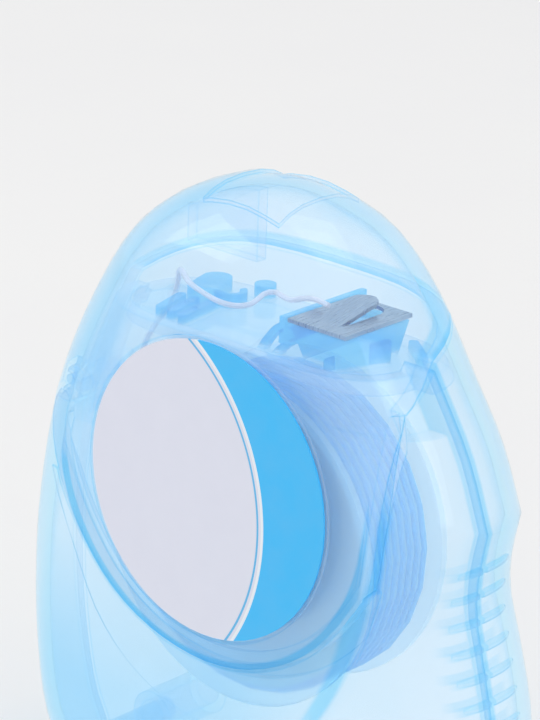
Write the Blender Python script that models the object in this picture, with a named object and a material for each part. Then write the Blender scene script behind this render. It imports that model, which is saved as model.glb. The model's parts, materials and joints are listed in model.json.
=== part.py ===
"""Pocket dental floss dispenser: two shells, a swinging hood, a bobbin, a guide deck and a cutter.

The dispenser stands on its base with +Z up and its label towards -Y. The shells part on y = 0.
Lengths are in metres. Outlines are shares of the half width and of the height.
"""
import math

import bmesh
import bpy
from mathutils import Vector

MM = 0.001

# Case form
HALF_WIDTH = 25.4 * MM
HEIGHT = 62.2 * MM
CASE_DEPTH = 9.3 * MM
FLANK_SHARE = 0.774
FLANK_DEPTH = FLANK_SHARE * CASE_DEPTH
WALL = 1.3 * MM
GAP = 0.3 * MM
SIDE_ROUND = 8.6 * MM
TOP_ROUND = 11.3 * MM
BASE_ROUND = 6.0 * MM
ROUND_POWER = 0.81
OUTLINE_STEPS = 88
ROUND_STEPS = 9
OVERRUN = 3.0 * MM
SLIVER = 0.002 * MM


def on_face(shares):
    """Return a place (x, z) from shares of the half width and of the height."""
    return shares[0] * HALF_WIDTH, shares[1] * HEIGHT


def on_deck(shares):
    """Return a place (x, y) from shares of the half width and of the depth."""
    return shares[0] * HALF_WIDTH, shares[1] * CASE_DEPTH


# Shares of half width and height, counter-clockwise from the corner over the waist
CENTRE_SHARE = (-0.067, 0.514)
OUTLINE_SHARES = (
    (0.913, 0.585), (0.819, 0.683), (0.681, 0.775), (0.500, 0.885), (0.315, 0.957), (0.138, 0.986),
    (-0.067, 1.000), (-0.272, 0.986), (-0.457, 0.948), (-0.610, 0.889), (-0.791, 0.764),
    (-0.909, 0.640), (-0.976, 0.514), (-1.000, 0.376), (-0.965, 0.207), (-0.858, 0.066),
    (-0.600, -0.022), (0.560, -0.022), (0.860, 0.034), (0.981, 0.115), (1.000, 0.195),
    (0.989, 0.280), (0.934, 0.382), (0.888, 0.456), (0.884, 0.515), (0.913, 0.585),
)

# Hood: its front panel hangs from the dome and swings about the pin at the left edge
HINGE_SHARES = (-0.870, 0.630)
HINGE = on_face(HINGE_SHARES)
PANEL_REACH_SHARE = 1.551
PANEL_REACH = PANEL_REACH_SHARE * HALF_WIDTH
PANEL_SHARES = (
    (-0.744, 0.537), (-0.646, 0.465), (-0.520, 0.402), (-0.378, 0.360), (-0.205, 0.333),
    (0.008, 0.323), (0.213, 0.339), (0.402, 0.379), (0.547, 0.436),
)
PANEL_LOW_ANGLE = math.radians(-12)
PANEL_HIGH_ANGLE = math.radians(40)
PANEL_STEPS = 30
SKIRT_WIDTH = 1.2 * MM
PANEL_BACK = FLANK_DEPTH + GAP
CORNER_DEPTH_SHARE = 0.495
CORNER_DEPTH = CORNER_DEPTH_SHARE * CASE_DEPTH
CORNER_LOW_SHARE = 0.751
CORNER_LOW = CORNER_LOW_SHARE * HEIGHT
PARTING_SHARE = 0.802
PARTING_HEIGHT = PARTING_SHARE * HEIGHT
REAR_RIM_SLOPE = 0.33
PAD_SHARES = (-0.220, 0.122)
PAD_SPAN = tuple(share * HALF_WIDTH for share in PAD_SHARES)
PAD_DEPTH_SHARE = 0.559
PAD_HALF_DEPTH = PAD_DEPTH_SHARE * CASE_DEPTH
PAD_SINK = 0.35 * MM
WEB_SHARES = (-0.453, -0.130)
WEB_SPAN = tuple(share * HALF_WIDTH for share in WEB_SHARES)
WEB_BOTTOM_SHARE = 0.871
WEB_BOTTOM = WEB_BOTTOM_SHARE * HEIGHT
WEB_THICK = 1.2 * MM

# Slope from the flank up to the panel, as shares like the outline
FOOT_SHARES = (
    (-0.778, 0.527), (-0.668, 0.432), (-0.548, 0.333), (-0.388, 0.267),
    (-0.175, 0.225), (0.064, 0.216), (0.258, 0.240), (0.475, 0.304), (0.616, 0.403), (0.685, 0.506),
)
SLOPE_STEP = 0.1 * MM

# Hinge
PIN_RADIUS = 0.5 * MM
HEEL_RADIUS = 1.5 * MM
SEAT_RADIUS = HEEL_RADIUS + 0.4 * MM
HEEL_FRONT_SHARE = 0.312
HEEL_FRONT = -HEEL_FRONT_SHARE * CASE_DEPTH
HEEL_BACK = -0.45 * MM
EAR_RADIUS = 1.25 * MM
EAR_THICK = 1.3 * MM
EAR_ROOT = 2.4 * MM
BOSS_RADIUS = 1.8 * MM
BOSS_DEPTH = 2.8 * MM
BOSS_FLOOR = 0.6 * MM

# Label
LABEL_SHARES = (-0.028, 0.579)
LABEL_CENTRE = on_face(LABEL_SHARES)
PANEL_FOOT_SHARE = 0.323
LABEL_MARGIN = 2.42 * MM
LABEL_RADIUS = LABEL_CENTRE[1] - PANEL_FOOT_SHARE * HEIGHT - LABEL_MARGIN
LABEL_THICK = 0.2 * MM

# Guide deck
DECK_SHARE = 0.775
DECK_TOP = DECK_SHARE * HEIGHT
DECK_THICK = 1.2 * MM

# Bobbin and floss
SPOOL_SHARES = (-0.028, 0.486)
SPOOL_CENTRE = on_face(SPOOL_SHARES)
SPOOL_ROOM = 2.0 * MM
SPOOL_FRONT = SPOOL_ROOM - FLANK_DEPTH
SPOOL_BACK_SHARE = 0.581
SPOOL_BACK = SPOOL_BACK_SHARE * CASE_DEPTH
SPOOL_TOP_ROOM = 0.4 * MM
ROOM_UNDER_DECK = DECK_TOP - DECK_THICK - SPOOL_TOP_ROOM - SPOOL_CENTRE[1]
ROOM_ACROSS_SHARE = 0.602
FLANGE_RADIUS = min(ROOM_UNDER_DECK, ROOM_ACROSS_SHARE * HALF_WIDTH)
FLANGE_THICK = 0.7 * MM
FLANGE_LIP = 1.5 * MM
HUB_RADIUS = 6.0 * MM
AXLE_RADIUS = 3.6 * MM
AXLE_WALL = 1.2 * MM
AXLE_SHOULDER = 1.4 * MM
FLOSS_DIAMETER = 0.5 * MM
PACK_RADIUS = FLANGE_RADIUS - FLANGE_LIP
WINDING_PITCH = 0.95 * MM
WINDING_ROOM = SPOOL_BACK - SPOOL_FRONT - 2 * (FLANGE_THICK + GAP + FLOSS_DIAMETER)
WINDING_TURNS = round(WINDING_ROOM / WINDING_PITCH)
POINTS_PER_TURN = 24

# Furniture of the guide deck: places are shares of half width and depth, heights are over the deck
STRAND_HOLE_SHARES = (-0.602, 0.247)
STRAND_HOLE = on_deck(STRAND_HOLE_SHARES)
STRAND_HOLE_RADIUS = 0.8 * MM
GUIDE_SHARES = ((-0.429, 0.097), (-0.465, 0.409))
GUIDE_RADIUS = 1.4 * MM
GUIDE_HEIGHT = 1.5 * MM
HOOK_SHARES = (-0.335, 0.215)
HOOK = on_deck(HOOK_SHARES)
HOOK_RADII = (1.5 * MM, 0.9 * MM)
HOOK_ANGLES = (math.radians(-130), math.radians(70))
POST_SHARES = (-0.299, 0.602)
POST_RADIUS = 1.0 * MM
BAR_RADIUS = 0.45 * MM
BAR_HEIGHT = 1.1 * MM
BAR_SHARES = (
    ((-0.309, -0.530), (-0.339, 0.043)),
    ((-0.363, -0.520), (-0.394, -0.118)),
    ((-0.418, -0.515), (-0.457, -0.118)),
    ((0.417, 0.462), (0.535, 0.204)),
)

# Cutter on its block
PLATE_SHARES = (0.268, 0.022)
PLATE_CENTRE = on_deck(PLATE_SHARES)
PLATE_SIZE_SHARES = (0.256, 0.946)
PLATE_SIZE = on_deck(PLATE_SIZE_SHARES)
PLATE_THICK = 0.35 * MM
PLATE_RISE = 3.1 * MM
PLATE_BOTTOM = DECK_TOP + PLATE_RISE
TONGUE_WIDTH = 2.7 * MM
TONGUE_LENGTH_SHARE = 0.670
TONGUE_LENGTH = TONGUE_LENGTH_SHARE * PLATE_SIZE[1]
TONGUE_RISE = 1.0 * MM
TONGUE_SHARES = (0.262, -0.269)
BLOCK_TAPER = (1.9 * MM, 1.6 * MM)
FENCE_WIDTH = 0.6 * MM
FENCE_BACK = 2.0 * MM
FIN_DEPTH = 0.8 * MM
FIN_DROP_SHARES = ((0.0, 0.0), (0.25, 0.15), (0.50, 0.38), (0.78, 0.68), (1.0, 1.0))
FIN_REACH = 2.4 * MM
LOW_FIN_REACH = 1.9 * MM
LOW_FIN_RISE = 1.6 * MM
HORN_SHARES = ((0.345, -0.500), (0.421, 0.043))
HORN_RADIUS = 0.5 * MM
HORN_RISE = 1.0 * MM

# Grip ribs and closing pegs
RIB_COUNT = 7
RIB_PITCH = 2.35 * MM
RIB_MIDDLE_SHARE = 0.418
RIB_MIDDLE = RIB_MIDDLE_SHARE * HEIGHT
RIB_HEIGHT = 0.8 * MM
RIB_PROUD = 0.35 * MM
RIB_ROOT = 0.6 * MM
RIB_CROWN_SHARE = 0.55
RIB_REACH = (3.5 * MM, 4.0 * MM)
RIB_SHORTENING = 1.0 * MM
PEG_RADIUS = 1.1 * MM
SOCKET_WALL = 0.9 * MM
PEG_LENGTH = 2.4 * MM
PEG_SHARES = ((-0.60, 0.105), (0.65, 0.14))

# Floss route over the deck to the cutter: shares of half width and depth, and the rise over the deck
STRAND_ROUTE_SHARES = (
    (-0.630, -0.129), (-0.610, 0.172), (-0.602, 0.253), (-0.583, 0.226), (-0.520, 0.097), (-0.441, -0.054),
    (-0.323, -0.188), (-0.228, -0.258), (-0.161, -0.226), (-0.142, -0.097), (-0.165, 0.097), (-0.181, 0.237),
    (-0.157, 0.301), (-0.094, 0.204), (-0.008, 0.065), (0.071, 0.011), (0.130, -0.022), (0.193, -0.043),
)
STRAND_RISES = (
    -5.2 * MM, -1.6 * MM, 0.2 * MM, 1.8 * MM, 2.15 * MM, 2.1 * MM, 2.1 * MM, 2.1 * MM, 2.1 * MM,
    2.1 * MM, 2.1 * MM, 2.15 * MM, 2.25 * MM, 2.5 * MM, 3.0 * MM, 3.8 * MM, 4.1 * MM, 4.02 * MM,
)
STRAIGHT_RUN = 5.0 * MM
WINDING_CLEARANCE = 0.15 * MM
STRAND_STEPS = 66


def clear_scene():
    """Remove every object, so that the script can be run again."""
    for old in list(bpy.data.objects):
        bpy.data.objects.remove(old, do_unlink=True)


def material(name, color, roughness, metallic=0.0, transmission=0.0):
    """Return a Principled material."""
    made = bpy.data.materials.new(name)
    made.use_nodes = True
    shader = made.node_tree.nodes["Principled BSDF"]
    shader.inputs["Base Color"].default_value = (*color, 1.0)
    shader.inputs["Roughness"].default_value = roughness
    shader.inputs["Metallic"].default_value = metallic
    shader.inputs["Transmission Weight"].default_value = transmission
    return made


def mesh_object(name, verts, faces):
    """Return an object with outward faces made from points and face lists."""
    shape = bmesh.new()
    points = [shape.verts.new(p) for p in verts]
    for face in faces:
        shape.faces.new([points[i] for i in face])
    bmesh.ops.recalc_face_normals(shape, faces=shape.faces)
    mesh = bpy.data.meshes.new(name)
    shape.to_mesh(mesh)
    shape.free()
    made = bpy.data.objects.new(name, mesh)
    bpy.context.scene.collection.objects.link(made)
    return made


def loft(name, rings, hub=None):
    """Return a closed solid through rings of equally many points; a hub closes the last as a fan."""
    count = len(rings[0])
    verts = [p for ring in rings for p in ring]
    faces = []
    for layer in range(len(rings) - 1):
        for i in range(count):
            j = (i + 1) % count
            low = layer * count
            faces.append((low + i, low + j, low + count + j))
            faces.append((low + i, low + count + j, low + count + i))
    faces.append(tuple(range(count)))
    last = (len(rings) - 1) * count
    if hub is None:
        faces.append(tuple(range(last, last + count)))
    else:
        verts.append(hub)
        faces += [(last + i, last + (i + 1) % count, len(verts) - 1) for i in range(count)]
    return mesh_object(name, verts, faces)


def prism(name, outline, low, high, axis="Y"):
    """Return an outline pushed along an axis: (x, z) along Y, (y, z) along X, (x, y) along Z."""
    if axis == "Y":
        rings = [[(a, t, b) for a, b in outline] for t in (low, high)]
    elif axis == "X":
        rings = [[(t, a, b) for a, b in outline] for t in (low, high)]
    else:
        rings = [[(a, b, t) for a, b in outline] for t in (low, high)]
    return loft(name, rings)


def box(name, low, high):
    """Return a box between two corners."""
    outline = [(low[0], low[2]), (high[0], low[2]), (high[0], high[2]), (low[0], high[2])]
    return prism(name, outline, low[1], high[1])


def circle(centre, radius, steps, radius_b=None):
    """Return points of a circle or an ellipse round a centre."""
    other = radius if radius_b is None else radius_b
    turns = [2 * math.pi * i / steps for i in range(steps)]
    return [(centre[0] + radius * math.cos(t), centre[1] + other * math.sin(t)) for t in turns]


def rod(name, centre, radius, low, high, steps=20, axis="Y"):
    """Return a cylinder along an axis."""
    return prism(name, circle(centre, radius, steps), low, high, axis)


def slot_outline(start, end, radius, steps=8):
    """Return the outline of a bar with round ends from start to end."""
    heading = math.atan2(end[1] - start[1], end[0] - start[0])
    points = []
    for centre, first in ((end, heading - math.pi / 2), (start, heading + math.pi / 2)):
        for i in range(steps + 1):
            t = first + math.pi * i / steps
            points.append((centre[0] + radius * math.cos(t), centre[1] + radius * math.sin(t)))
    return points


def turned(name, profile, centre, steps=48):
    """Return a ring turned about a line along Y from a closed profile of (radius, y)."""
    verts = []
    faces = []
    count = len(profile)
    for i in range(steps):
        t = 2 * math.pi * i / steps
        for radius, y in profile:
            verts.append((centre[0] + radius * math.cos(t), y, centre[1] + radius * math.sin(t)))
    for i in range(steps):
        for k in range(count):
            a = i * count + k
            b = i * count + (k + 1) % count
            c = ((i + 1) % steps) * count + (k + 1) % count
            d = ((i + 1) % steps) * count + k
            faces.append((a, b, c))
            faces.append((a, c, d))
    return mesh_object(name, verts, faces)


def drop_slivers(mesh):
    """Merge points that a cut left on top of each other, and drop faces without area."""
    shape = bmesh.new()
    shape.from_mesh(mesh)
    bmesh.ops.dissolve_degenerate(shape, dist=SLIVER, edges=shape.edges)
    shape.to_mesh(mesh)
    shape.free()


def combine(body, tool, operation):
    """Apply a Boolean to the body and remove the tool."""
    cut = body.modifiers.new("cut", "BOOLEAN")
    cut.operation = operation
    cut.object = tool
    cut.solver = "EXACT"
    depsgraph = bpy.context.evaluated_depsgraph_get()
    result = bpy.data.meshes.new_from_object(body.evaluated_get(depsgraph))
    body.modifiers.clear()
    body.data = result
    drop_slivers(result)
    bpy.data.objects.remove(tool, do_unlink=True)
    return body


def join(body, tool):
    """Unite two solids."""
    return combine(body, tool, "UNION")


def carve(body, tool):
    """Cut the tool out of the body."""
    return combine(body, tool, "DIFFERENCE")


def keep(body, tool):
    """Keep what the body and the tool share."""
    return combine(body, tool, "INTERSECT")


def finish(body, surface, smooth_angle=32.0):
    """Give a piece its material and shading."""
    body.data.materials.clear()
    body.data.materials.append(surface)
    body.data.shade_smooth()
    body.data.set_sharp_from_angle(angle=math.radians(smooth_angle))
    return body


def spline(points, per_piece):
    """Return points on a smooth curve through the given ones."""
    ends = [tuple(2 * a - b for a, b in zip(points[0], points[1]))]
    ends.append(tuple(2 * a - b for a, b in zip(points[-1], points[-2])))
    row = [Vector(p) for p in [ends[0], *points, ends[1]]]
    found = []
    for i in range(1, len(row) - 2):
        for step in range(per_piece):
            t = step / per_piece
            a, b, c, d = row[i - 1:i + 3]
            found.append(0.5 * (2 * b + (c - a) * t + (2 * a - 5 * b + 4 * c - d) * t ** 2
                                + (3 * b - a - 3 * c + d) * t ** 3))
    found.append(row[-2])
    return found


def even_steps(points, count):
    """Return count + 1 points evenly spaced along a row of points."""
    lengths = [0.0]
    for a, b in zip(points, points[1:]):
        lengths.append(lengths[-1] + (b - a).length)
    found = []
    k = 0
    for i in range(count + 1):
        goal = lengths[-1] * i / count
        while k < len(points) - 2 and lengths[k + 1] < goal:
            k += 1
        span = lengths[k + 1] - lengths[k]
        found.append(points[k].lerp(points[k + 1], (goal - lengths[k]) / span))
    return found


def face_places(rows):
    """Return places (x, z) from rows of shares."""
    return [on_face(shares) for shares in rows]


def case_outline():
    """Return the case's outline on the parting plane, with its corner over the waist."""
    smooth = spline(face_places(OUTLINE_SHARES), 12)
    return even_steps(smooth, OUTLINE_STEPS)[:-1]


OUTLINE = case_outline()
CENTRE = Vector((CENTRE_SHARE[0] * HALF_WIDTH, CENTRE_SHARE[1] * HEIGHT))


def edge_round(direction):
    """Return the breadth of the rounded edge where the outline lies in this direction."""
    lift = direction.y ** 2
    end = TOP_ROUND if direction.y > 0 else BASE_ROUND
    return SIDE_ROUND + (end - SIDE_ROUND) * lift


def contour(inset, turn):
    """Return the case's contour at a turn of its rounded edge, drawn in by an inset."""
    points = []
    for p in OUTLINE:
        away = p - CENTRE
        direction = away.normalized()
        breadth = edge_round(direction) - inset
        drawn_in = inset + breadth * (1 - math.cos(turn) ** ROUND_POWER)
        points.append(CENTRE + direction * (away.length - drawn_in))
    return points


def leaning(x, depth):
    """Return how much deeper the front shell is at x, where its face leans out to the left."""
    flat = HALF_WIDTH - SIDE_ROUND
    share = min(1.0, max(0.0, (flat - x) / (2 * flat)))
    return depth + (CASE_DEPTH - 2 * SLOPE_STEP - FLANK_DEPTH) * share


def pillow(name, side, inset, depth, start, leans=False):
    """Return half of the case's form: side -1 is the front, +1 the back.

    Its flat face lies at start, measured outwards from the parting plane. The form is drawn in by
    inset, and depth is where its outer face lies. The front shell's face leans out to the left.
    """
    first = 0.0
    rings = []
    if start > 0:
        first = math.asin((start / depth) ** (1 / ROUND_POWER))
    elif start < 0:
        rings.append([(p.x, side * start, p.y) for p in contour(inset, 0.0)])
    for i in range(ROUND_STEPS + 1):
        turn = first + (math.pi / 2 - first) * i / ROUND_STEPS
        lift = side * math.sin(turn) ** ROUND_POWER
        ring = contour(inset, min(turn, math.pi / 2))
        if leans and i > 0:
            rings.append([(p.x, lift * leaning(p.x, depth), p.y) for p in ring])
        else:
            rings.append([(p.x, lift * depth, p.y) for p in ring])
    if not leans:
        return loft(name, rings)
    return loft(name, rings, (CENTRE.x, side * leaning(CENTRE.x, depth), CENTRE.y))


def full_pillow(name, inset, depth):
    """Return both halves of the case's form as one solid."""
    rings = []
    for i in range(-ROUND_STEPS, ROUND_STEPS + 1):
        turn = math.pi / 2 * abs(i) / ROUND_STEPS
        y = math.copysign(depth * math.sin(turn) ** ROUND_POWER, i)
        rings.append([(p.x, y, p.y) for p in contour(inset, min(turn, math.pi / 2))])
    return loft(name, rings)


def panel_outline(grow):
    """Return the hood panel's outline on the front, moved outwards by grow."""
    low = (HINGE[0] + PANEL_REACH * math.cos(PANEL_LOW_ANGLE),
           HINGE[1] + PANEL_REACH * math.sin(PANEL_LOW_ANGLE))
    ring = spline([HINGE, *face_places(PANEL_SHARES), low], 10)
    ring = even_steps(ring, PANEL_STEPS)
    points = []
    for i, p in enumerate(ring):
        along = ring[min(i + 1, PANEL_STEPS)] - ring[max(i - 1, 0)]
        outward = Vector((along.y, -along.x)).normalized()
        points.append(tuple(p + outward * grow))
    reach = PANEL_REACH + grow
    steps = PANEL_STEPS // 2
    for i in range(1, steps + 1):
        t = PANEL_LOW_ANGLE + (PANEL_HIGH_ANGLE - PANEL_LOW_ANGLE) * i / steps
        points.append((HINGE[0] + reach * math.cos(t), HINGE[1] + reach * math.sin(t)))
    top = HEIGHT + OVERRUN
    left = -HALF_WIDTH - OVERRUN
    points += [(points[-1][0], top), (left, top), (left, HINGE[1] - grow)]
    return points


def hood_zone(grow):
    """Return the space that belongs to the hood, moved outwards by grow."""
    far = CASE_DEPTH + OVERRUN
    wide = HALF_WIDTH + OVERRUN
    top = HEIGHT + OVERRUN
    zone = prism("zone", panel_outline(grow), -far, -CORNER_DEPTH + grow)
    seam = -GAP / 2 + grow
    join(zone, box("left_zone", (-wide, -CORNER_DEPTH - grow, HINGE[1] - grow), (0, seam, top)))
    corner = [(-CORNER_DEPTH - WALL, CORNER_LOW - grow), (-CORNER_DEPTH, CORNER_LOW - grow),
              (seam, PARTING_HEIGHT - grow), (seam, top), (-CORNER_DEPTH - WALL, top)]
    join(zone, prism("right_zone", corner, 0, wide, "X"))
    rise = REAR_RIM_SLOPE * (far + GAP)
    rear = [(-GAP, PARTING_HEIGHT - grow), (far, PARTING_HEIGHT + rise - grow), (far, top), (-GAP, top)]
    return join(zone, prism("rear_zone", rear, -wide, wide, "X"))


def ground_cutter():
    """Return the space under the base."""
    wide = HALF_WIDTH + OVERRUN
    return box("ground", (-wide, -wide, -HEIGHT), (wide, wide, 0))


def outline_x(z):
    """Return where the right side of the outline stands at a height."""
    best = 0.0
    for a, b in zip(OUTLINE, OUTLINE[1:] + OUTLINE[:1]):
        if (a.y - z) * (b.y - z) <= 0 and a.y != b.y:
            best = max(best, a.x + (b.x - a.x) * (z - a.y) / (b.y - a.y))
    return best


def rib(side, depth, z, reach):
    """Return one half of a grip rib that follows the right side round its edge."""
    rings = []
    steps = 5
    for i in range(steps + 1):
        share = i / steps
        y = GAP + (reach - GAP) * share
        turn = math.asin((y / depth) ** (1 / ROUND_POWER))
        surface = outline_x(z) - SIDE_ROUND * (1 - math.cos(turn) ** ROUND_POWER)
        half = RIB_HEIGHT / 2 * math.sqrt(1 - 0.6 * share ** 4)
        proud = RIB_PROUD * math.sqrt(1 - 0.8 * share ** 4)
        inner = surface - RIB_ROOT
        edge = surface - RIB_PROUD / 2
        outer = surface + proud
        crown = half * RIB_CROWN_SHARE
        outline = [(inner, z - half), (edge, z - half), (outer, z - crown),
                   (outer, z + crown), (edge, z + half), (inner, z + half)]
        rings.append([(x, side * y, height) for x, height in outline])
    return loft("rib", rings)


def add_ribs(shell, side, depth):
    """Join one shell's half of every grip rib."""
    for i in range(RIB_COUNT):
        offset = i - (RIB_COUNT - 1) / 2
        share = abs(offset) / (RIB_COUNT / 2)
        reach = RIB_REACH[0] - RIB_SHORTENING * share ** 2 if side < 0 else RIB_REACH[1]
        join(shell, rib(side, depth, RIB_MIDDLE + offset * RIB_PITCH, reach))


def front_slope():
    """Return the sloping rise that meets the hood's panel from below."""
    low = (HINGE[0] + PANEL_REACH * math.cos(PANEL_LOW_ANGLE),
           HINGE[1] + PANEL_REACH * math.sin(PANEL_LOW_ANGLE))
    ring = even_steps(spline([*face_places(PANEL_SHARES), low], 10), PANEL_STEPS)
    foot = even_steps(spline(face_places(FOOT_SHARES), 10), PANEL_STEPS)
    base = [(p.x, -FLANK_DEPTH + WALL / 2, p.y) for p in foot]
    face = [(p.x, -leaning(p.x, FLANK_DEPTH) - SLOPE_STEP / 2, p.y) for p in foot]
    crest = [(p.x, -CASE_DEPTH + SLOPE_STEP, p.y) for p in ring]
    slope = loft("slope", [base, face, crest])
    return keep(slope, pillow("slope_limit", -1, 0.0, CASE_DEPTH, 0.0))


def inner_room(name, inset, depth, leans):
    """Return the room inside the front shell, above its floor."""
    wide = HALF_WIDTH + OVERRUN
    room = pillow(name, -1, inset, depth, -OVERRUN, leans)
    return keep(room, box("floor_limit", (-wide, -wide, WALL), (wide, wide, HEIGHT)))


def front_shell(surface):
    """Return the blue front shell with its panel seat, slope, ribs, ear and pegs."""
    shell = pillow("front_shell", -1, 0.0, FLANK_DEPTH, GAP / 2, True)
    add_ribs(shell, -1, FLANK_DEPTH)
    join(shell, front_slope())
    carve(shell, hood_zone(GAP))
    core = pillow("core", -1, WALL + GAP, FLANK_DEPTH, GAP / 2)
    wide = HALF_WIDTH + OVERRUN
    keep(core, box("core_limit", (-wide, -wide, 0), (wide, 0, DECK_TOP + FENCE_WIDTH)))
    join(shell, core)
    carve(shell, inner_room("core_room", 2 * WALL + GAP, FLANK_DEPTH - WALL, False))
    room = inner_room("shell_room", WALL, FLANK_DEPTH - WALL, True)
    high = CORNER_LOW - 2 * WALL
    left_high = HINGE[1] - 2 * WALL
    limit = [(-wide, 0), (wide, 0), (wide, high), (0, high), (0, left_high), (-wide, left_high)]
    keep(room, prism("room_limit", limit, -wide, wide))
    carve(room, prism("panel_seat", panel_outline(WALL + GAP), -wide, -FLANK_DEPTH + WALL))
    carve(shell, room)
    carve(shell, rod("seat", HINGE, SEAT_RADIUS, HEEL_FRONT - EAR_THICK - 2 * GAP, 0, 24))
    carve(shell, rod("swing_room", HINGE, EAR_RADIUS - GAP, -CASE_DEPTH, HEEL_FRONT - EAR_THICK, 24))
    ear_back = HEEL_FRONT - GAP
    root = (HINGE[0] + EAR_ROOT, HINGE[1] - EAR_ROOT / 2)
    ear = prism("ear", slot_outline(HINGE, root, EAR_RADIUS), ear_back - EAR_THICK, ear_back)
    join(shell, keep(ear, full_pillow("ear_limit", GAP / 2, CASE_DEPTH)))
    notch = slot_outline(HINGE, (HINGE[0] - EAR_ROOT, HINGE[1]), PIN_RADIUS + GAP)
    carve(shell, prism("ear_notch", notch, ear_back - EAR_THICK - GAP, ear_back + GAP))
    for place in face_places(PEG_SHARES):
        root = WALL / 2 - leaning(place[0], FLANK_DEPTH)
        join(shell, rod("peg", place, PEG_RADIUS, root, PEG_LENGTH, 16))
    carve(shell, ground_cutter())
    return finish(shell, surface)


def rear_shell(surface):
    """Return the blue rear shell with its axle, hinge boss, ribs and sockets."""
    shell = pillow("rear_shell", 1, 0.0, CASE_DEPTH, GAP / 2)
    add_ribs(shell, 1, CASE_DEPTH)
    wide = HALF_WIDTH + OVERRUN
    room = pillow("rear_room", 1, WALL, CASE_DEPTH - WALL, -OVERRUN)
    carve(shell, keep(room, box("floor_limit", (-wide, -wide, WALL), (wide, wide, HEIGHT + OVERRUN))))
    carve(shell, hood_zone(GAP))
    inner_face = CASE_DEPTH - WALL / 2
    boss = rod("boss", HINGE, BOSS_RADIUS, GAP, BOSS_DEPTH, 24)
    keep(boss, pillow("boss_limit", 1, 0.0, CASE_DEPTH, 0.0))
    join(shell, boss)
    carve(shell, rod("pin_hole", HINGE, PIN_RADIUS + GAP, -GAP, BOSS_DEPTH - BOSS_FLOOR, 18))
    axle_bore = AXLE_RADIUS - AXLE_WALL
    axle_front = SPOOL_FRONT + GAP
    shoulder = AXLE_RADIUS + AXLE_SHOULDER
    rest = SPOOL_BACK + GAP
    axle = [(axle_bore, axle_front), (AXLE_RADIUS, axle_front), (AXLE_RADIUS, rest),
            (shoulder, rest), (shoulder, inner_face), (axle_bore, inner_face)]
    join(shell, turned("axle", axle, SPOOL_CENTRE, 32))
    bore = PEG_RADIUS + GAP
    for place in face_places(PEG_SHARES):
        rim = bore + SOCKET_WALL
        socket = [(bore, GAP), (rim, GAP), (rim, inner_face), (bore, inner_face)]
        join(shell, turned("socket", socket, place, 16))
    carve(shell, ground_cutter())
    return finish(shell, surface)


def heel():
    """Return the round root of the hood on its pin line."""
    return rod("heel", HINGE, HEEL_RADIUS, HEEL_FRONT, HEEL_BACK, 24)


def hood_hollow():
    """Return the room inside the hood, which leaves its skirt, web and heel standing."""
    wide = HALF_WIDTH + OVERRUN
    far = CASE_DEPTH + OVERRUN
    hollow = full_pillow("hood_hollow", WALL, CASE_DEPTH - WALL)
    skirt = box("skirt", (-wide, -far, -OVERRUN), (wide, -PANEL_BACK, HEIGHT + OVERRUN))
    carve(skirt, prism("skirt_hollow", panel_outline(-SKIRT_WIDTH), -far - OVERRUN, 0))
    carve(hollow, skirt)
    low = (WEB_SPAN[0], -WEB_THICK / 2, WEB_BOTTOM)
    carve(hollow, box("web", low, (WEB_SPAN[1], WEB_THICK / 2, HEIGHT + OVERRUN)))
    return carve(hollow, heel())


def flip_cap(surface):
    """Return the clear hood: dome, front panel, skirt, heel with pins, web and thumb pad."""
    hood = full_pillow("flip_cap", 0.0, CASE_DEPTH)
    keep(hood, join(hood_zone(0.0), heel()))
    carve(hood, hood_hollow())
    carve(hood, rod("ear_room", HINGE, SEAT_RADIUS, HEEL_FRONT - EAR_THICK - 2 * GAP, HEEL_FRONT, 24))
    pin_front = HEEL_FRONT - EAR_THICK
    pin_back = BOSS_DEPTH - BOSS_FLOOR - GAP
    join(hood, rod("pin", HINGE, PIN_RADIUS, pin_front, pin_back, 16))
    high = (PAD_SPAN[1], PAD_HALF_DEPTH, HEIGHT + OVERRUN)
    pad = box("pad", (PAD_SPAN[0], -PAD_HALF_DEPTH, DECK_TOP), high)
    carve(pad, full_pillow("pad_floor", PAD_SINK, CASE_DEPTH - PAD_SINK))
    carve(hood, pad)
    recess = LABEL_THICK + GAP
    low = -CASE_DEPTH - OVERRUN
    carve(hood, rod("label_recess", LABEL_CENTRE, LABEL_RADIUS + GAP, low, recess - CASE_DEPTH, 64))
    return finish(hood, surface)


def front_label(surface):
    """Return the round label in its recess on the panel."""
    label = rod("front_label", LABEL_CENTRE, LABEL_RADIUS, -CASE_DEPTH, -CASE_DEPTH + LABEL_THICK, 64)
    return finish(label, surface)


def floss_spool(surface):
    """Return the bobbin: a hub with two thin flanges."""
    bore = AXLE_RADIUS + GAP
    front = SPOOL_FRONT
    back = SPOOL_BACK
    profile = [
        (bore, front), (FLANGE_RADIUS, front), (FLANGE_RADIUS, front + FLANGE_THICK),
        (HUB_RADIUS, front + FLANGE_THICK), (HUB_RADIUS, back - FLANGE_THICK),
        (FLANGE_RADIUS, back - FLANGE_THICK), (FLANGE_RADIUS, back), (bore, back),
    ]
    return finish(turned("floss_spool", profile, SPOOL_CENTRE), surface)


def floss_pack(surface):
    """Return the plain core of wound floss under its outer layer."""
    front = SPOOL_FRONT + FLANGE_THICK + GAP
    back = SPOOL_BACK - FLANGE_THICK - GAP
    bore = HUB_RADIUS + GAP
    profile = [(bore, front), (PACK_RADIUS, front), (PACK_RADIUS, back), (bore, back)]
    return finish(turned("floss_pack", profile, SPOOL_CENTRE), surface)


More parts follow.
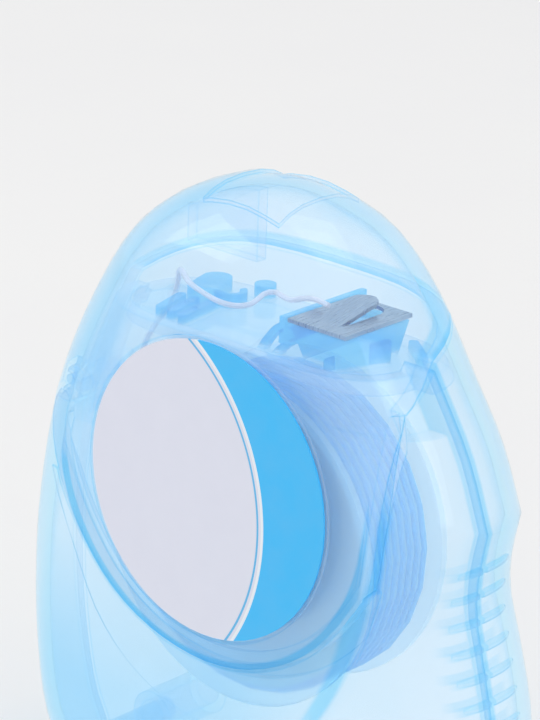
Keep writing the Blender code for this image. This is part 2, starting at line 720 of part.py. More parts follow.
def tube(name, points, diameter, resolution, surface):
    """Return a cord through points as a round tube with filled ends."""
    data = bpy.data.curves.new(name, "CURVE")
    data.dimensions = "3D"
    data.bevel_depth = diameter / 2
    data.bevel_resolution = resolution
    data.use_fill_caps = True
    data.resolution_u = 1
    path = data.splines.new("POLY")
    path.points.add(len(points) - 1)
    for spot, p in zip(path.points, points):
        spot.co = (*p, 1.0)
    data.materials.append(surface)
    made = bpy.data.objects.new(name, data)
    bpy.context.scene.collection.objects.link(made)
    return made


def strand_route():
    """Return the places on the floss's way over the deck."""
    return [(*on_deck(shares), DECK_TOP + rise) for shares, rise in zip(STRAND_ROUTE_SHARES, STRAND_RISES)]


def take_off(radius):
    """Return where a strand at this radius leaves the bobbin: its angle and the way it heads."""
    first = strand_route()[0]
    reach = Vector((first[0] - SPOOL_CENTRE[0], first[2] - SPOOL_CENTRE[1]))
    angle = math.atan2(reach.y, reach.x) + math.acos(radius / reach.length)
    return angle, Vector((math.sin(angle), 0.0, -math.cos(angle)))


def round_bobbin(radius, angle, y):
    """Return the place at a radius, an angle and a depth on the bobbin."""
    across = radius * math.cos(angle)
    return Vector((SPOOL_CENTRE[0] + across, y, SPOOL_CENTRE[1] + radius * math.sin(angle)))


def floss_winding(surface):
    """Return the outer layer of floss as one unbroken tube, and print its least gap to itself."""
    radius = PACK_RADIUS + GAP + FLOSS_DIAMETER / 2
    angle = take_off(radius)[0]
    steps = WINDING_TURNS * POINTS_PER_TURN
    front = SPOOL_FRONT + FLANGE_THICK + GAP + FLOSS_DIAMETER
    points = []
    for i in range(steps + 1):
        t = angle + 2 * math.pi * (steps - i) / POINTS_PER_TURN
        y = front + WINDING_PITCH * (steps - i) / POINTS_PER_TURN
        points.append(round_bobbin(radius, t, y))
    least = min(
        (points[i] - points[j]).length
        for i in range(len(points))
        for j in range(i + POINTS_PER_TURN // 2, min(i + 2 * POINTS_PER_TURN, len(points)))
    )
    print("floss_winding least gap to itself, mm:", round((least - FLOSS_DIAMETER) / MM, 3))
    return tube("floss_winding", points, FLOSS_DIAMETER, 1, surface)


def floss_strand(surface):
    """Return the free end of the floss from the winding to the cutter."""
    radius = PACK_RADIUS + 3 * FLOSS_DIAMETER / 2 + GAP + WINDING_CLEARANCE
    angle, heading = take_off(radius)
    y = SPOOL_FRONT + FLANGE_THICK + GAP + FLOSS_DIAMETER
    start = round_bobbin(radius, angle, y)
    second = start + heading * 2 * FLOSS_DIAMETER
    third = start + heading * STRAIGHT_RUN
    route = spline([tuple(start), tuple(second), tuple(third), *strand_route()], 12)
    return tube("floss_strand", even_steps(route, STRAND_STEPS), FLOSS_DIAMETER, 2, surface)


def deck_plate():
    """Return the plate that closes the case over the bobbin, cut to fit the walls."""
    inner = pillow("inner", -1, 2 * (WALL + GAP), FLANK_DEPTH - WALL - GAP, -2 * GAP)
    join(inner, pillow("inner_rear", 1, WALL + GAP, CASE_DEPTH - WALL - GAP, GAP / 2))
    wide = HALF_WIDTH + OVERRUN
    plate = box("floss_deck", (-wide, -wide, DECK_TOP - DECK_THICK), (wide, wide, DECK_TOP))
    return keep(plate, inner)


def cutter_block():
    """Return the tapered block under the cutter, with the fence along its left side."""
    half_x = PLATE_SIZE[0] / 2
    half_y = PLATE_SIZE[1] / 2
    left = PLATE_CENTRE[0] - half_x
    right = PLATE_CENTRE[0] + half_x - GAP
    front = PLATE_CENTRE[1] - half_y + GAP
    back = PLATE_CENTRE[1] + half_y
    sink = DECK_TOP - DECK_THICK / 2
    top = PLATE_BOTTOM - GAP
    in_x, in_y = BLOCK_TAPER
    upper = [(left, front, top), (right, front, top), (right, back, top), (left, back, top)]
    lower = [(left + in_x, front + GAP, sink), (right, front + GAP, sink),
             (right, back - in_y, sink), (left + in_x, back - in_y, sink)]
    block = loft("cutter_block", [lower, upper])
    fence_right = left - GAP
    fence_left = fence_right - FENCE_WIDTH
    join(block, box("shelf", (fence_left + GAP, front, top - PLATE_THICK), (left + GAP, back, top)))
    low = (fence_left, front - GAP, DECK_TOP + HORN_RISE)
    return join(block, box("fence", low, (fence_right, back + FENCE_BACK, PLATE_BOTTOM + PLATE_THICK)))


def fin(start_x, start_z, reach):
    """Return a curved fin that falls from the block's corner to the deck."""
    front = PLATE_CENTRE[1] - PLATE_SIZE[1] / 2
    drop = start_z - DECK_TOP
    upper = [(start_x - reach * a, start_z - drop * b) for a, b in FIN_DROP_SHARES]
    lower = [(x + FENCE_WIDTH, z - FENCE_WIDTH / 2) for x, z in upper]
    outline = [(start_x + FENCE_WIDTH, start_z), *upper, *reversed(lower)]
    return prism("fin", outline, front, front + FIN_DEPTH)


def hook_wall():
    """Return the bent wall beside the floss guide."""
    outer, inner = HOOK_RADII
    low, high = HOOK_ANGLES
    steps = 14
    turns = [low + (high - low) * i / steps for i in range(steps + 1)]
    outline = [(HOOK[0] + outer * math.cos(t), HOOK[1] + outer * math.sin(t)) for t in turns]
    outline += [(HOOK[0] + inner * math.cos(t), HOOK[1] + inner * math.sin(t)) for t in reversed(turns)]
    return prism("hook", outline, DECK_TOP - DECK_THICK / 2, DECK_TOP + GUIDE_HEIGHT, "Z")


def horn():
    """Return the slanting wall in front of the cutter's block."""
    sink = DECK_TOP - DECK_THICK / 2
    top = PLATE_BOTTOM - 2 * GAP
    near, far = map(on_deck, HORN_SHARES)
    wall = prism("horn", slot_outline(near, far, HORN_RADIUS), sink, top, "Z")
    front = near[1] - HORN_RADIUS - GAP
    back = far[1] + HORN_RADIUS + GAP
    side = [(front, sink - GAP), (back, sink - GAP), (back, top - GAP), (front, DECK_TOP + HORN_RISE)]
    return keep(wall, prism("horn_limit", side, 0, HALF_WIDTH, "X"))


def floss_deck(surface):
    """Return the guide deck: plate, cutter block, fins, guide, hook, posts and bars."""
    deck = deck_plate()
    sink = DECK_TOP - DECK_THICK / 2
    carve(deck, rod("hole", STRAND_HOLE, STRAND_HOLE_RADIUS, sink - DECK_THICK, DECK_TOP + GAP, 16, "Z"))
    join(deck, cutter_block())
    left = PLATE_CENTRE[0] - PLATE_SIZE[0] / 2
    join(deck, fin(left - GAP - FENCE_WIDTH, PLATE_BOTTOM + PLATE_THICK - FENCE_WIDTH, FIN_REACH))
    join(deck, fin(left + GAP, DECK_TOP + LOW_FIN_RISE, LOW_FIN_REACH))
    join(deck, horn())
    guide = slot_outline(*map(on_deck, GUIDE_SHARES), GUIDE_RADIUS)
    join(deck, prism("guide", guide, sink, DECK_TOP + GUIDE_HEIGHT, "Z"))
    join(deck, hook_wall())
    join(deck, rod("post", on_deck(POST_SHARES), POST_RADIUS, sink, DECK_TOP + GUIDE_HEIGHT, 16, "Z"))
    for ends in BAR_SHARES:
        outline = slot_outline(*map(on_deck, ends), BAR_RADIUS, 6)
        join(deck, prism("bar", outline, sink, DECK_TOP + BAR_HEIGHT, "Z"))
    return finish(deck, surface)


def cutter_plate(surface):
    """Return the steel plate with its raised tongue over a slot."""
    half_x = PLATE_SIZE[0] / 2
    half_y = PLATE_SIZE[1] / 2
    low = (PLATE_CENTRE[0] - half_x, PLATE_CENTRE[1] - half_y, PLATE_BOTTOM)
    high = (PLATE_CENTRE[0] + half_x, PLATE_CENTRE[1] + half_y, PLATE_BOTTOM + PLATE_THICK)
    plate = box("cutter_plate", low, high)
    x, y = on_deck(TONGUE_SHARES)
    half = TONGUE_WIDTH / 2
    slot = slot_outline((x, y + half), (x, y + TONGUE_LENGTH - half + GAP), half + GAP, 8)
    slot = [(a, max(b, y)) for a, b in slot]
    carve(plate, prism("slot", slot, PLATE_BOTTOM - GAP, PLATE_BOTTOM + 2 * PLATE_THICK, "Z"))
    rings = []
    steps = 10
    for i in range(steps + 1):
        share = i / steps
        along = y - PLATE_THICK + (TONGUE_LENGTH + PLATE_THICK) * share
        left_over = max(0.0, y + TONGUE_LENGTH - along)
        width = half
        if left_over < half:
            width = max(half * 0.25, math.sqrt(half ** 2 - (half - left_over) ** 2))
        rise = TONGUE_RISE * min(1.0, max(0.0, share * 1.25 - 0.05))
        bottom = PLATE_BOTTOM + rise
        rings.append([(x - width, along, bottom), (x + width, along, bottom),
                      (x + width, along, bottom + PLATE_THICK), (x - width, along, bottom + PLATE_THICK)])
    join(plate, loft("tongue", rings))
    return finish(plate, surface)


def main():
    """Build the dispenser."""
    clear_scene()
    blue = material("blue_shell", (0.36, 0.70, 0.93), 0.12, transmission=0.9)
    clear = material("clear_hood", (0.72, 0.87, 0.96), 0.06, transmission=0.95)
    steel = material("steel", (0.55, 0.60, 0.66), 0.25, metallic=1.0)
    label = material("label_film", (0.80, 0.82, 0.86), 0.45)
    bobbin = material("bobbin", (0.80, 0.90, 0.96), 0.3, transmission=0.5)
    floss = material("floss", (0.93, 0.93, 0.92), 0.6)
    rear_shell(blue)
    front_shell(blue)
    flip_cap(clear)
    front_label(label)
    floss_deck(blue)
    cutter_plate(steel)
    floss_spool(bobbin)
    floss_pack(floss)
    floss_winding(floss)
    floss_strand(floss)


main()
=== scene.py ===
"""Looks of a pocket dental floss dispenser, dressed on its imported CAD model."""
import json
import math

import bpy
from mathutils import Matrix, Vector

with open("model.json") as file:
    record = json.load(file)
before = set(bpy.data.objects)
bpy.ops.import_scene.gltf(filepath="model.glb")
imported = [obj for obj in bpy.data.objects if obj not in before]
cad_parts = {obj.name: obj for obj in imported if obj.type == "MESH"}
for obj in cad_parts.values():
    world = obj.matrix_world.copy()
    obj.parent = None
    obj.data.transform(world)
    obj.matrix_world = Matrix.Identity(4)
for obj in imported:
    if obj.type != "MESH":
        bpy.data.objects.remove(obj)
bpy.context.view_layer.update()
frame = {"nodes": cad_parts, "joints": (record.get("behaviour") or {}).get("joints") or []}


def linear(red, green, blue):
    """Turn display values from 0 to 255 into a linear colour."""
    found = []
    for value in (red, green, blue):
        share = value / 255
        found.append(share / 12.92 if share <= 0.04045 else ((share + 0.055) / 1.055) ** 2.4)
    return (*found, 1.0)


MM = 0.001
WHITE = (1.0, 1.0, 1.0, 1.0)

# Camera
AZIMUTH = math.radians(41)
ELEVATION = math.radians(20)
ROLL = math.radians(2)
DISTANCE = 314.4 * MM
TARGET = Vector((-1.904, 0.0, 45.365)) * MM
LENS = 180
SENSOR_WIDTH = 36
CLIP_START = 10 * MM

# Bounces, for light and shadows that pass many clear walls
CLEAR_BOUNCES = 24
SHADOW_LAYERS = 32

# Studio: the backdrop's light and grey, the floor's greys, and each lamp's place, size and watts
BACKDROP_LIGHT = 0.84
BACKDROP_GREY = linear(239, 239, 239)
FLOOR_HALF = 4.0
FLOOR_GREYS = (linear(238, 238, 239), linear(240, 240, 240))
FLOOR_CLOUDS = 60 * MM
FLOOR_GRAIN = 2 * MM
FLOOR_ROUGHNESS = (0.75, 0.9)
FLOOR_GLOSS = 0.1
LAMP_AIM = Vector((0.0, 0.0, 32.0)) * MM
LAMPS = {
    "lamp_left": ((-0.55, -0.45, 0.45), (0.45, 0.45), 0.80),
    "lamp_right": ((0.75, -0.15, 0.35), (0.35, 0.5), 0.54),
    "lamp_top": ((0.05, 0.15, 0.75), (0.5, 0.5), 0.71),
}

# Smooth shading, kept sharp where facets meet at more than the crease
CREASE = math.radians(30)
WELD_REACH = 0.001 * MM

# Clear plastic: its own tint, and a deep blue painted shade on its edges and rims, which stands in for the
# light dimmed along edge-on walls and caught in internal reflections. Its walls are thin, so light goes
# straight through them, and only their gloss bends it
PALE_BLUE = (0.95, 0.965, 1.0, 1.0)
SHADE_BLUE = (0.22, 0.72, 0.985, 1.0)
SHELL = {"tint": (0.14, 0.80, 0.98, 1.0), "density": 82.0, "rough": 0.10, "ripple": 0.05 * MM, "milk": 0.13}
HOOD = {"tint": (0.15, 0.75, 0.975, 1.0), "density": 84.0, "rough": 0.05, "ripple": 0.04 * MM, "milk": 0.06}
WALL_IOR = 1.0
GLOSS_IOR = 1.45
GLOSS_ROUGHNESS = 0.06
FLOW_SIZE = 9 * MM
HAZE_SIZE = 6 * MM
HAZE_SHARES = (0.7, 1.5)

# Painted shade in deep blue where a rounded edge turns away from its face, and on faces seen at a slant
EDGE_RADIUS = 0.3 * MM
EDGE_SAMPLES = 6
EDGE_SHARE = 0.75
EDGE_TURNS = (0.80, 0.985)
SLANT_SHARE = 0.42
SLANTS = (0.55, 0.95)

# Places of painted shade in deep blue. A band is full up to its first value from the middle and gone at its
# second.
# Heights, depths and widths are where a tint fades, along z, y and x. A share is its full strength.

# On the hood's skirt: an arc round the hinge and one round the panel's foot
PIN = next(joint["pos_m"] for joint in frame["joints"] if joint["name"] == "hood_hinge")
HINGE = (PIN[0], PIN[2])
PANEL_REACH = 39.3 * MM
PANEL_FOOT = (-0.5 * MM, 38.0 * MM)
PANEL_FOOT_REACH = 17.8 * MM
SKIRT_BAND = (0.3 * MM, 0.55 * MM)
FOOT_BAND = (0.35 * MM, 0.6 * MM)
FOOT_HEIGHTS = (34 * MM, 36 * MM)
SKIRT_DEPTHS = (-9.2 * MM, -8.6 * MM)

# On the hood's sloping rim behind the parting plane, and on its left end
RIM_HEIGHT = 50.0 * MM
RIM_SLOPE = 0.33
RIM_BAND = (0.25 * MM, 0.6 * MM)
RIM_DEPTHS = (-0.2 * MM, 0.4 * MM)
RIM_SHARE = 0.8
LEFT_WIDTHS = (-23 * MM, -12 * MM)
LEFT_SHARE = 0.35

# On the front shell beside the hood's panel, and on its low left part
SLOPE_BAND = (0.45 * MM, 0.9 * MM)
SLOPE_WIDTHS = (7 * MM, 11 * MM)
SLOPE_DEPTHS = (-6.8 * MM, -6.2 * MM)
SLOPE_SHARE = 0.85
LOW_HEIGHTS = (13 * MM, 27 * MM)
LOW_WIDTHS = (2 * MM, 13 * MM)
LOW_SHARE = 0.35

# On the shells' seam and on the grip ribs, whose stripe is in shares of their pitch
SEAM_BAND = (0.3 * MM, 0.55 * MM)
SEAM_WIDTHS = (8 * MM, 12 * MM)
SEAM_SHARE = 0.7
RIB_MIDDLE = 26.0 * MM
RIB_PITCH = 2.35 * MM
RIB_COUNT = 7
RIBS_HALF = RIB_COUNT / 2 * RIB_PITCH
RIBS_END = RIBS_HALF + 0.05 * RIB_PITCH
RIB_STRIPE = (0.15, 0.21)
RIB_DEPTHS = (3.0 * MM, 4.2 * MM)
RIB_WIDTHS = (20.0 * MM, 21.5 * MM)
RIB_SHARE = 0.45

# Painted shade on all that stands on the guide deck
DECK_TOP = 48.2 * MM
WALL_HEIGHTS = (DECK_TOP + 0.1 * MM, DECK_TOP + 0.5 * MM)

# Label: two tones that meet in an arc, with a thin line beside it and a pale one along it
ARC_CENTRE = (-13.45 * MM, 33.52 * MM)
ARC_RADIUS = 19.52 * MM
THIN_LINE = (-0.62 * MM, 0.11 * MM)
PALE_LINE = (-0.1 * MM, 0.14 * MM)
LABEL_PALE = linear(226, 228, 241)
LABEL_BLUE = linear(58, 191, 252)
LABEL_LINE = linear(95, 185, 235)
LABEL_EDGE = linear(238, 242, 248)
LABEL_MOTTLE = linear(190, 195, 215)
MOTTLE_SIZE = 2.5 * MM
MOTTLE_SHARE = 0.05
PRINT_SIZE = 1.2 * MM
PRINT_ROUGHNESS = (0.34, 0.5)
FILM_GRAIN = 0.35 * MM
FILM_DEPTH = 0.004 * MM
FILM_TINT = (0.9, 0.93, 0.96, 1.0)

# Cutter's steel
STEEL_TONES = (linear(128, 152, 182), linear(172, 190, 208))
STREAK_SIZE = 0.12 * MM
STREAK_STRETCH = (1, 14, 14)
STREAK_ROUGHNESS = (0.22, 0.42)
STREAK_DEPTH = 0.004 * MM

# Bobbin's plastic: its own milky white, raised and tinted pale blue as painted light that stands in for
# light reaching it through the case
MILKY_TONES = (linear(232, 247, 255), linear(240, 250, 255))
MILKY_IOR = 1.06
MILKY_CLEARNESS = 0.75
MILKY_CLOUDS = 5 * MM
MILKY_GRAIN = 1.5 * MM
MILKY_ROUGHNESS = (0.4, 0.55)
MILKY_RIPPLE = 3 * MM
MILKY_DEPTH = 0.01 * MM
MILKY_TINT = (0.95, 0.98, 1.0, 1.0)

# Floss: tones, how its fine lines stretch along the axes, and how clear it is
# The core's bright pale blue tones are painted light, brighter and bluer than the white floss, standing in
# for light that reaches it through the case
CORE = {"tones": (linear(180, 236, 255), linear(190, 240, 255)), "along": (1, 0.4, 1), "clearness": 0.0}
# The wound layer's deeper blue tones are painted shade on the outer floss
LAYER = {"tones": (linear(140, 216, 253), linear(158, 224, 255)), "along": (8, 0.6, 8), "clearness": 0.5}
END = {"tones": (linear(228, 226, 236), linear(244, 241, 248)), "along": (6, 1.2, 1.5), "clearness": 0.4}
SOLID_IOR = 1.5
CLEAR_IOR = 1.02
FILAMENT_SIZE = 0.06 * MM
FILAMENT_DEPTH = 0.02 * MM
FLOSS_ROUGHNESS = (0.5, 0.75)
FLOSS_SHEEN = 0.3
FLOSS_SHEEN_ROUGHNESS = 0.4
FLOSS_TINT = (0.9, 0.95, 1.0, 1.0)


def choose(tree, share, first, second):
    """Mix two shaders by a share."""
    mix = tree.nodes.new("ShaderNodeMixShader")
    for socket, source in zip(mix.inputs, (share, first, second)):
        tree.links.new(source, socket)
    return mix.outputs[0]


class Graph:
    """A material and short ways to add nodes to it."""

    def __init__(self, name):
        self.material = bpy.data.materials.new(name)
        self.material.use_nodes = True
        self.tree = self.material.node_tree
        self.shader = self.tree.nodes["Principled BSDF"]
        self.out = self.tree.nodes["Material Output"]
        self.place = self.tree.nodes.new("ShaderNodeTexCoord").outputs["Object"]

    def node(self, kind, **settings):
        """Add a node."""
        made = self.tree.nodes.new(kind)
        for name, value in settings.items():
            setattr(made, name, value)
        return made

    def link(self, source, goal):
        """Join two sockets."""
        self.tree.links.new(source, goal)

    def maths(self, operation, *values):
        """Work out a number from numbers and sockets."""
        made = self.node("ShaderNodeMath", operation=operation)
        for socket, value in zip(made.inputs, values):
            if isinstance(value, (int, float)):
                socket.default_value = value
            else:
                self.link(value, socket)
        return made.outputs[0]

    def product(self, first, *others):
        """All values multiplied."""
        for other in others:
            first = self.maths("MULTIPLY", first, other)
        return first

    def largest(self, first, *others):
        """The largest of the values."""
        for other in others:
            first = self.maths("MAXIMUM", first, other)
        return first

    def noise(self, size, detail=3.0, stretch=(1, 1, 1)):
        """Noise with features of about this size in metres, longer along the stretched axes."""
        scaled = self.node("ShaderNodeMapping")
        scaled.inputs["Scale"].default_value = [1 / (size * s) for s in stretch]
        self.link(self.place, scaled.inputs["Vector"])
        made = self.node("ShaderNodeTexNoise")
        made.inputs["Scale"].default_value = 1.0
        made.inputs["Detail"].default_value = detail
        self.link(scaled.outputs[0], made.inputs["Vector"])
        return made.outputs["Fac"]

    def spread(self, source, low, high, start=0.3, end=0.7):
        """Map a value from start..end to low..high, and hold it there beyond."""
        made = self.node("ShaderNodeMapRange")
        for name, value in (("From Min", start), ("From Max", end), ("To Min", low), ("To Max", high)):
            made.inputs[name].default_value = value
        self.link(source, made.inputs["Value"])
        return made.outputs[0]

    def blend(self, share, first, second):
        """Mix two colours by a share."""
        made = self.node("ShaderNodeMix", data_type="RGBA")
        sockets = [s for s in made.inputs if s.type == "RGBA"]
        for socket, value in zip(sockets, (first, second)):
            if isinstance(value, tuple):
                socket.default_value = value
            else:
                self.link(value, socket)
        self.link(share, made.inputs["Factor"])
        return next(s for s in made.outputs if s.type == "RGBA")

    def axes(self):
        """The place's x, y and z."""
        parts = self.node("ShaderNodeSeparateXYZ")
        self.link(self.place, parts.inputs[0])
        return parts.outputs["X"], parts.outputs["Y"], parts.outputs["Z"]

    def reach(self, x, z, centre):
        """Distance from a centre in the plane of x and z."""
        across = self.maths("SUBTRACT", x, centre[0])
        upward = self.maths("SUBTRACT", z, centre[1])
        square = self.maths("MULTIPLY_ADD", across, across, self.maths("MULTIPLY", upward, upward))
        return self.maths("SQRT", square)

    def band(self, value, middle, full, none):
        """1 within full of the middle, falling to 0 at none."""
        off = self.maths("ABSOLUTE", self.maths("SUBTRACT", value, middle))
        return self.spread(off, 1.0, 0.0, full, none)

    def bump(self, height, depth):
        """Raise the surface and its gloss by a texture, this deep in metres."""
        made = self.node("ShaderNodeBump")
        made.inputs["Distance"].default_value = depth
        made.inputs["Strength"].default_value = 1.0
        self.link(height, made.inputs["Height"])
        self.link(made.outputs[0], self.shader.inputs["Normal"])
        self.link(made.outputs[0], self.shader.inputs["Coat Normal"])

    def set(self, **values):
        """Set the shader's own sockets."""
        for name, value in values.items():
            self.shader.inputs[name.replace("_", " ")].default_value = value

    def let_light_through(self, tint, diffuse_too=False):
        """Let lamps shine through the piece, so that it doesn't darken what it holds."""
        film = self.node("ShaderNodeBsdfTransparent")
        film.inputs["Color"].default_value = tint
        path = self.node("ShaderNodeLightPath")
        passes = path.outputs["Is Shadow Ray"]
        if diffuse_too:
            passes = self.maths("MAXIMUM", passes, path.outputs["Is Diffuse Ray"])
        mixed = choose(self.tree, passes, self.shader.outputs[0], film.outputs[0])
        self.link(mixed, self.out.inputs["Surface"])

    def colour(self, source):
        """Colour the surface."""
        self.link(source, self.shader.inputs["Base Color"])

    def roughness(self, source):
        """Make the surface matt or glossy."""
        self.link(source, self.shader.inputs["Roughness"])


def hood_rim_shade(g):
    """Mask of painted shade on the hood's skirt round its panel, on its rim at the back and on its left
    end.
    """
    x, y, z = g.axes()
    arc = g.band(g.reach(x, z, HINGE), PANEL_REACH, *SKIRT_BAND)
    foot = g.band(g.reach(x, z, PANEL_FOOT), PANEL_FOOT_REACH, *FOOT_BAND)
    foot = g.product(foot, g.spread(z, 1.0, 0.0, *FOOT_HEIGHTS))
    skirt = g.product(g.largest(arc, foot), g.spread(y, 1.0, 0.0, *SKIRT_DEPTHS))
    lift = g.maths("MULTIPLY_ADD", y, -RIM_SLOPE, z)
    rim = g.product(g.band(lift, RIM_HEIGHT, *RIM_BAND), g.spread(y, 0.0, RIM_SHARE, *RIM_DEPTHS))
    left = g.spread(x, LEFT_SHARE, 0.0, *LEFT_WIDTHS)
    return g.largest(skirt, rim, left)


def seam(g):
    """Mask of painted shade on the faces on both sides of the parting plane, to the right, and in stripes
    on the grip ribs.
    """
    x, y, z = g.axes()
    line = g.product(g.band(y, 0.0, *SEAM_BAND), g.spread(x, 0.0, SEAM_SHARE, *SEAM_WIDTHS))
    turn = g.maths("MULTIPLY_ADD", z, 1 / RIB_PITCH, 0.5 - RIB_MIDDLE / RIB_PITCH)
    stripe = g.band(g.maths("FRACT", turn), 0.5, *RIB_STRIPE)
    zone = g.product(g.band(z, RIB_MIDDLE, RIBS_HALF, RIBS_END), g.band(y, 0.0, *RIB_DEPTHS))
    zone = g.product(zone, g.spread(x, 0.0, RIB_SHARE, *RIB_WIDTHS))
    return g.largest(line, g.product(stripe, zone))


def front_slope_shade(g):
    """Mask of painted shade on the arc beside and below the hood's panel, on the low left part and on the
    seam.
    """
    x, y, z = g.axes()
    arc = g.band(g.reach(x, z, HINGE), PANEL_REACH, *SLOPE_BAND)
    right = g.spread(x, 0.0, SLOPE_SHARE, *SLOPE_WIDTHS)
    slope = g.product(arc, right, g.spread(y, 1.0, 0.0, *SLOPE_DEPTHS))
    low = g.product(g.spread(z, LOW_SHARE, 0.0, *LOW_HEIGHTS), g.spread(x, 1.0, 0.0, *LOW_WIDTHS))
    return g.largest(slope, low, seam(g))


def deck_wall_shade(g):
    """Mask of painted shade on what stands on the guide deck."""
    return g.spread(g.axes()[2], 0.0, 1.0, *WALL_HEIGHTS)


def clear_plastic(name, painted_shade, tint, density, rough, ripple, milk):
    """Moulded see-through plastic: it colours light by the way through it, has faint flow ripples, and
    wears painted shade in deep blue on its edges, slanted faces and given places.
    """
    g = Graph(name)
    g.set(IOR=WALL_IOR, Transmission_Weight=1.0 - milk)
    g.set(Coat_Weight=1.0, Coat_IOR=GLOSS_IOR, Coat_Roughness=GLOSS_ROUGHNESS)
    round_edge = g.node("ShaderNodeBevel", samples=EDGE_SAMPLES)
    round_edge.inputs["Radius"].default_value = EDGE_RADIUS
    face = g.node("ShaderNodeNewGeometry")
    turn = g.node("ShaderNodeVectorMath", operation="DOT_PRODUCT")
    g.link(round_edge.outputs[0], turn.inputs[0])
    g.link(face.outputs["Normal"], turn.inputs[1])
    edge = g.spread(turn.outputs["Value"], EDGE_SHARE, 0.0, *EDGE_TURNS)
    weight = g.node("ShaderNodeLayerWeight")
    weight.inputs["Blend"].default_value = 0.5
    slant = g.spread(weight.outputs["Facing"], 0.0, SLANT_SHARE, *SLANTS)
    # The deep blue mix is painted shade on rounded edges, on the given places and on faces seen at a slant
    g.colour(g.blend(g.largest(edge, painted_shade(g), slant), PALE_BLUE, SHADE_BLUE))
    g.roughness(g.spread(g.noise(HAZE_SIZE), rough * HAZE_SHARES[0], rough * HAZE_SHARES[1]))
    g.bump(g.noise(FLOW_SIZE, detail=2.0), ripple)
    g.let_light_through(WHITE)
    body = g.node("ShaderNodeVolumeAbsorption")
    body.inputs["Color"].default_value = tint
    body.inputs["Density"].default_value = density
    g.link(body.outputs[0], g.out.inputs["Volume"])
    return g.material


def label_film():
    """Satin film in two plain tones, parted by an arc with a thin double line."""
    g = Graph("label_film")
    x, y, z = g.axes()
    past = g.maths("SUBTRACT", g.reach(x, z, ARC_CENTRE), ARC_RADIUS)
    tone = g.blend(g.maths("GREATER_THAN", past, 0.0), LABEL_PALE, LABEL_BLUE)
    tone = g.blend(g.maths("COMPARE", past, *THIN_LINE), tone, LABEL_LINE)
    tone = g.blend(g.maths("COMPARE", past, *PALE_LINE), tone, LABEL_EDGE)
    mottle = g.spread(g.noise(MOTTLE_SIZE, detail=4.0), 0.0, MOTTLE_SHARE)
    g.colour(g.blend(mottle, tone, LABEL_MOTTLE))
    g.roughness(g.spread(g.noise(PRINT_SIZE), *PRINT_ROUGHNESS))
    g.bump(g.noise(FILM_GRAIN, detail=2.0), FILM_DEPTH)
    g.let_light_through(FILM_TINT, diffuse_too=True)
    return g.material


def steel():
    """Rolled stainless strip with fine lines along its length."""
    g = Graph("cutter_steel")
    g.set(Metallic=1.0)
    streak = g.noise(STREAK_SIZE, stretch=STREAK_STRETCH)
    g.colour(g.blend(g.spread(streak, 0.0, 1.0), *STEEL_TONES))
    g.roughness(g.spread(streak, *STREAK_ROUGHNESS))
    g.bump(streak, STREAK_DEPTH)
    return g.material


def milky_plastic():
    """Milky natural polypropylene of the bobbin."""
    g = Graph("bobbin_plastic")
    g.set(IOR=MILKY_IOR, Transmission_Weight=MILKY_CLEARNESS)
    g.colour(g.blend(g.spread(g.noise(MILKY_CLOUDS), 0.0, 1.0), *MILKY_TONES))
    g.roughness(g.spread(g.noise(MILKY_GRAIN), *MILKY_ROUGHNESS))
    g.bump(g.noise(MILKY_RIPPLE, detail=2.0), MILKY_DEPTH)
    g.let_light_through(MILKY_TINT)
    return g.material


def waxed_floss(name, tones, along, clearness):
    """Waxed white filaments, with fine lines that stretch along the axes."""
    g = Graph(name)
    g.set(Sheen_Weight=FLOSS_SHEEN, Sheen_Roughness=FLOSS_SHEEN_ROUGHNESS)
    g.set(Transmission_Weight=clearness, IOR=CLEAR_IOR if clearness else SOLID_IOR)
    strands = g.noise(FILAMENT_SIZE, detail=2.0, stretch=along)
    g.colour(g.blend(g.spread(strands, 0.0, 1.0), *tones))
    g.roughness(g.spread(strands, *FLOSS_ROUGHNESS))
    g.bump(strands, FILAMENT_DEPTH)
    g.let_light_through(FLOSS_TINT)
    return g.material


def dress(node, material):
    """Give a CAD node its material, and smooth shading that keeps its hard edges."""
    obj = frame["nodes"][node]
    obj.data.materials.clear()
    obj.data.materials.append(material)
    if "custom_normal" in obj.data.attributes:
        obj.data.attributes.remove(obj.data.attributes["custom_normal"])
    obj.data.shade_smooth()
    weld = obj.modifiers.new("weld", "WELD")
    weld.merge_threshold = WELD_REACH
    split = obj.modifiers.new("hard_edges", "EDGE_SPLIT")
    split.split_angle = CREASE
    even = obj.modifiers.new("even_normals", "WEIGHTED_NORMAL")
    even.mode = "FACE_AREA"


def floor():
    """Pale floor that keeps the part's shadow and looks plain white through the plastic."""
    corners = [(-FLOOR_HALF, -FLOOR_HALF, 0), (FLOOR_HALF, -FLOOR_HALF, 0)]
    corners += [(FLOOR_HALF, FLOOR_HALF, 0), (-FLOOR_HALF, FLOOR_HALF, 0)]
    mesh = bpy.data.meshes.new("floor")
    mesh.from_pydata(corners, [], [(0, 1, 2, 3)])
    made = bpy.data.objects.new("floor", mesh)
    bpy.context.scene.collection.objects.link(made)
    g = Graph("floor_paper")
    g.set(Specular_IOR_Level=FLOOR_GLOSS)
    g.colour(g.blend(g.spread(g.noise(FLOOR_CLOUDS), 0.0, 1.0), *FLOOR_GREYS))
    g.roughness(g.spread(g.noise(FLOOR_GRAIN), *FLOOR_ROUGHNESS))
    bright = g.node("ShaderNodeEmission")
    bright.inputs["Color"].default_value = WHITE
    beyond = g.node("ShaderNodeLightPath").outputs["Is Transmission Ray"]
    g.link(choose(g.tree, beyond, g.shader.outputs[0], bright.outputs[0]), g.out.inputs["Surface"])
    made.data.materials.append(g.material)


def glow(tree, colour, strength):
    """Add a background shader."""
    made = tree.nodes.new("ShaderNodeBackground")
    made.inputs["Color"].default_value = colour
    made.inputs["Strength"].default_value = strength
    return made.outputs[0]


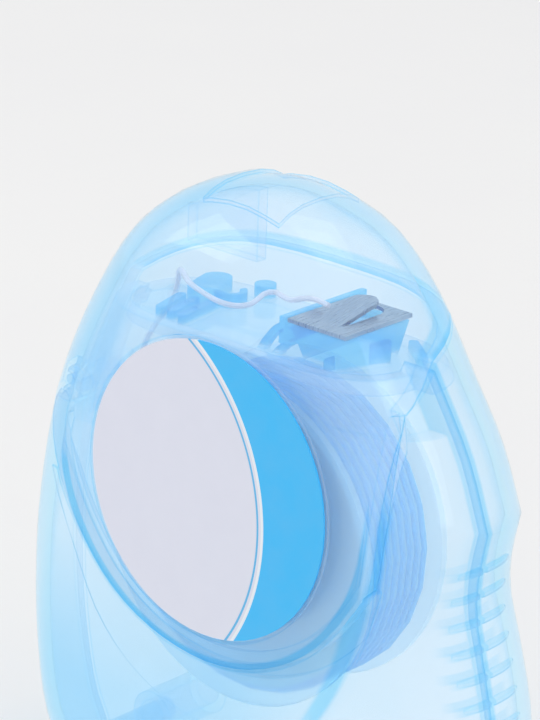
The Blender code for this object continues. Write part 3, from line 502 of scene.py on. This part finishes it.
def backdrop():
    """Even light, seen as pale grey, and as plain white through the plastic."""
    world = bpy.data.worlds.new("studio")
    bpy.context.scene.world = world
    world.use_nodes = True
    tree = world.node_tree
    tree.nodes.clear()
    path = tree.nodes.new("ShaderNodeLightPath")
    seen = tree.nodes.new("ShaderNodeMath")
    seen.operation = "MAXIMUM"
    tree.links.new(path.outputs["Is Camera Ray"], seen.inputs[0])
    tree.links.new(path.outputs["Is Glossy Ray"], seen.inputs[1])
    mixed = choose(tree, seen.outputs[0], glow(tree, WHITE, BACKDROP_LIGHT), glow(tree, BACKDROP_GREY, 1.0))
    mixed = choose(tree, path.outputs["Is Transmission Ray"], mixed, glow(tree, WHITE, 1.0))
    out = tree.nodes.new("ShaderNodeOutputWorld")
    tree.links.new(mixed, out.inputs["Surface"])


def lamps():
    """Soft lamps on both sides and above, all aimed at the part."""
    for name, (place, size, watts) in LAMPS.items():
        data = bpy.data.lights.new(name, "AREA")
        data.shape = "RECTANGLE"
        data.size, data.size_y = size
        data.energy = watts
        lamp = bpy.data.objects.new(name, data)
        bpy.context.scene.collection.objects.link(lamp)
        lamp.location = place
        lamp.rotation_euler = (Vector(place) - LAMP_AIM).to_track_quat("Z", "Y").to_euler()


def camera():
    """Look at the front from the right and a little above."""
    level = math.cos(ELEVATION)
    back = Vector((math.sin(AZIMUTH) * level, -math.cos(AZIMUTH) * level, math.sin(ELEVATION)))
    right = Vector((math.cos(AZIMUTH), math.sin(AZIMUTH), 0.0))
    up = right.cross(-back)
    across = right * math.cos(ROLL) + up * math.sin(ROLL)
    upwards = up * math.cos(ROLL) - right * math.sin(ROLL)
    turn = Matrix((across, upwards, back)).transposed().to_4x4()
    data = bpy.data.cameras.new("camera")
    data.lens = LENS
    data.sensor_width = SENSOR_WIDTH
    data.clip_start = CLIP_START
    made = bpy.data.objects.new("camera", data)
    bpy.context.scene.collection.objects.link(made)
    made.matrix_world = Matrix.Translation(TARGET + back * DISTANCE) @ turn
    bpy.context.scene.camera = made


def settings():
    """Plain view of colours, and enough bounces for many clear walls."""
    scene = bpy.context.scene
    scene.view_settings.view_transform = "Standard"
    scene.cycles.max_bounces = CLEAR_BOUNCES
    scene.cycles.transmission_bounces = CLEAR_BOUNCES
    scene.cycles.transparent_max_bounces = SHADOW_LAYERS


dress("rear_shell", clear_plastic("rear_plastic", seam, **SHELL))
dress("front_shell", clear_plastic("front_plastic", front_slope_shade, **SHELL))
dress("floss_deck", clear_plastic("deck_plastic", deck_wall_shade, **SHELL))
dress("flip_cap", clear_plastic("hood_plastic", hood_rim_shade, **HOOD))
dress("front_label", label_film())
dress("cutter_plate", steel())
dress("floss_spool", milky_plastic())
dress("floss_pack", waxed_floss("wound_floss_core", **CORE))
dress("floss_winding", waxed_floss("wound_floss", **LAYER))
dress("floss_strand", waxed_floss("floss_end", **END))
floor()
backdrop()
lamps()
camera()
settings()
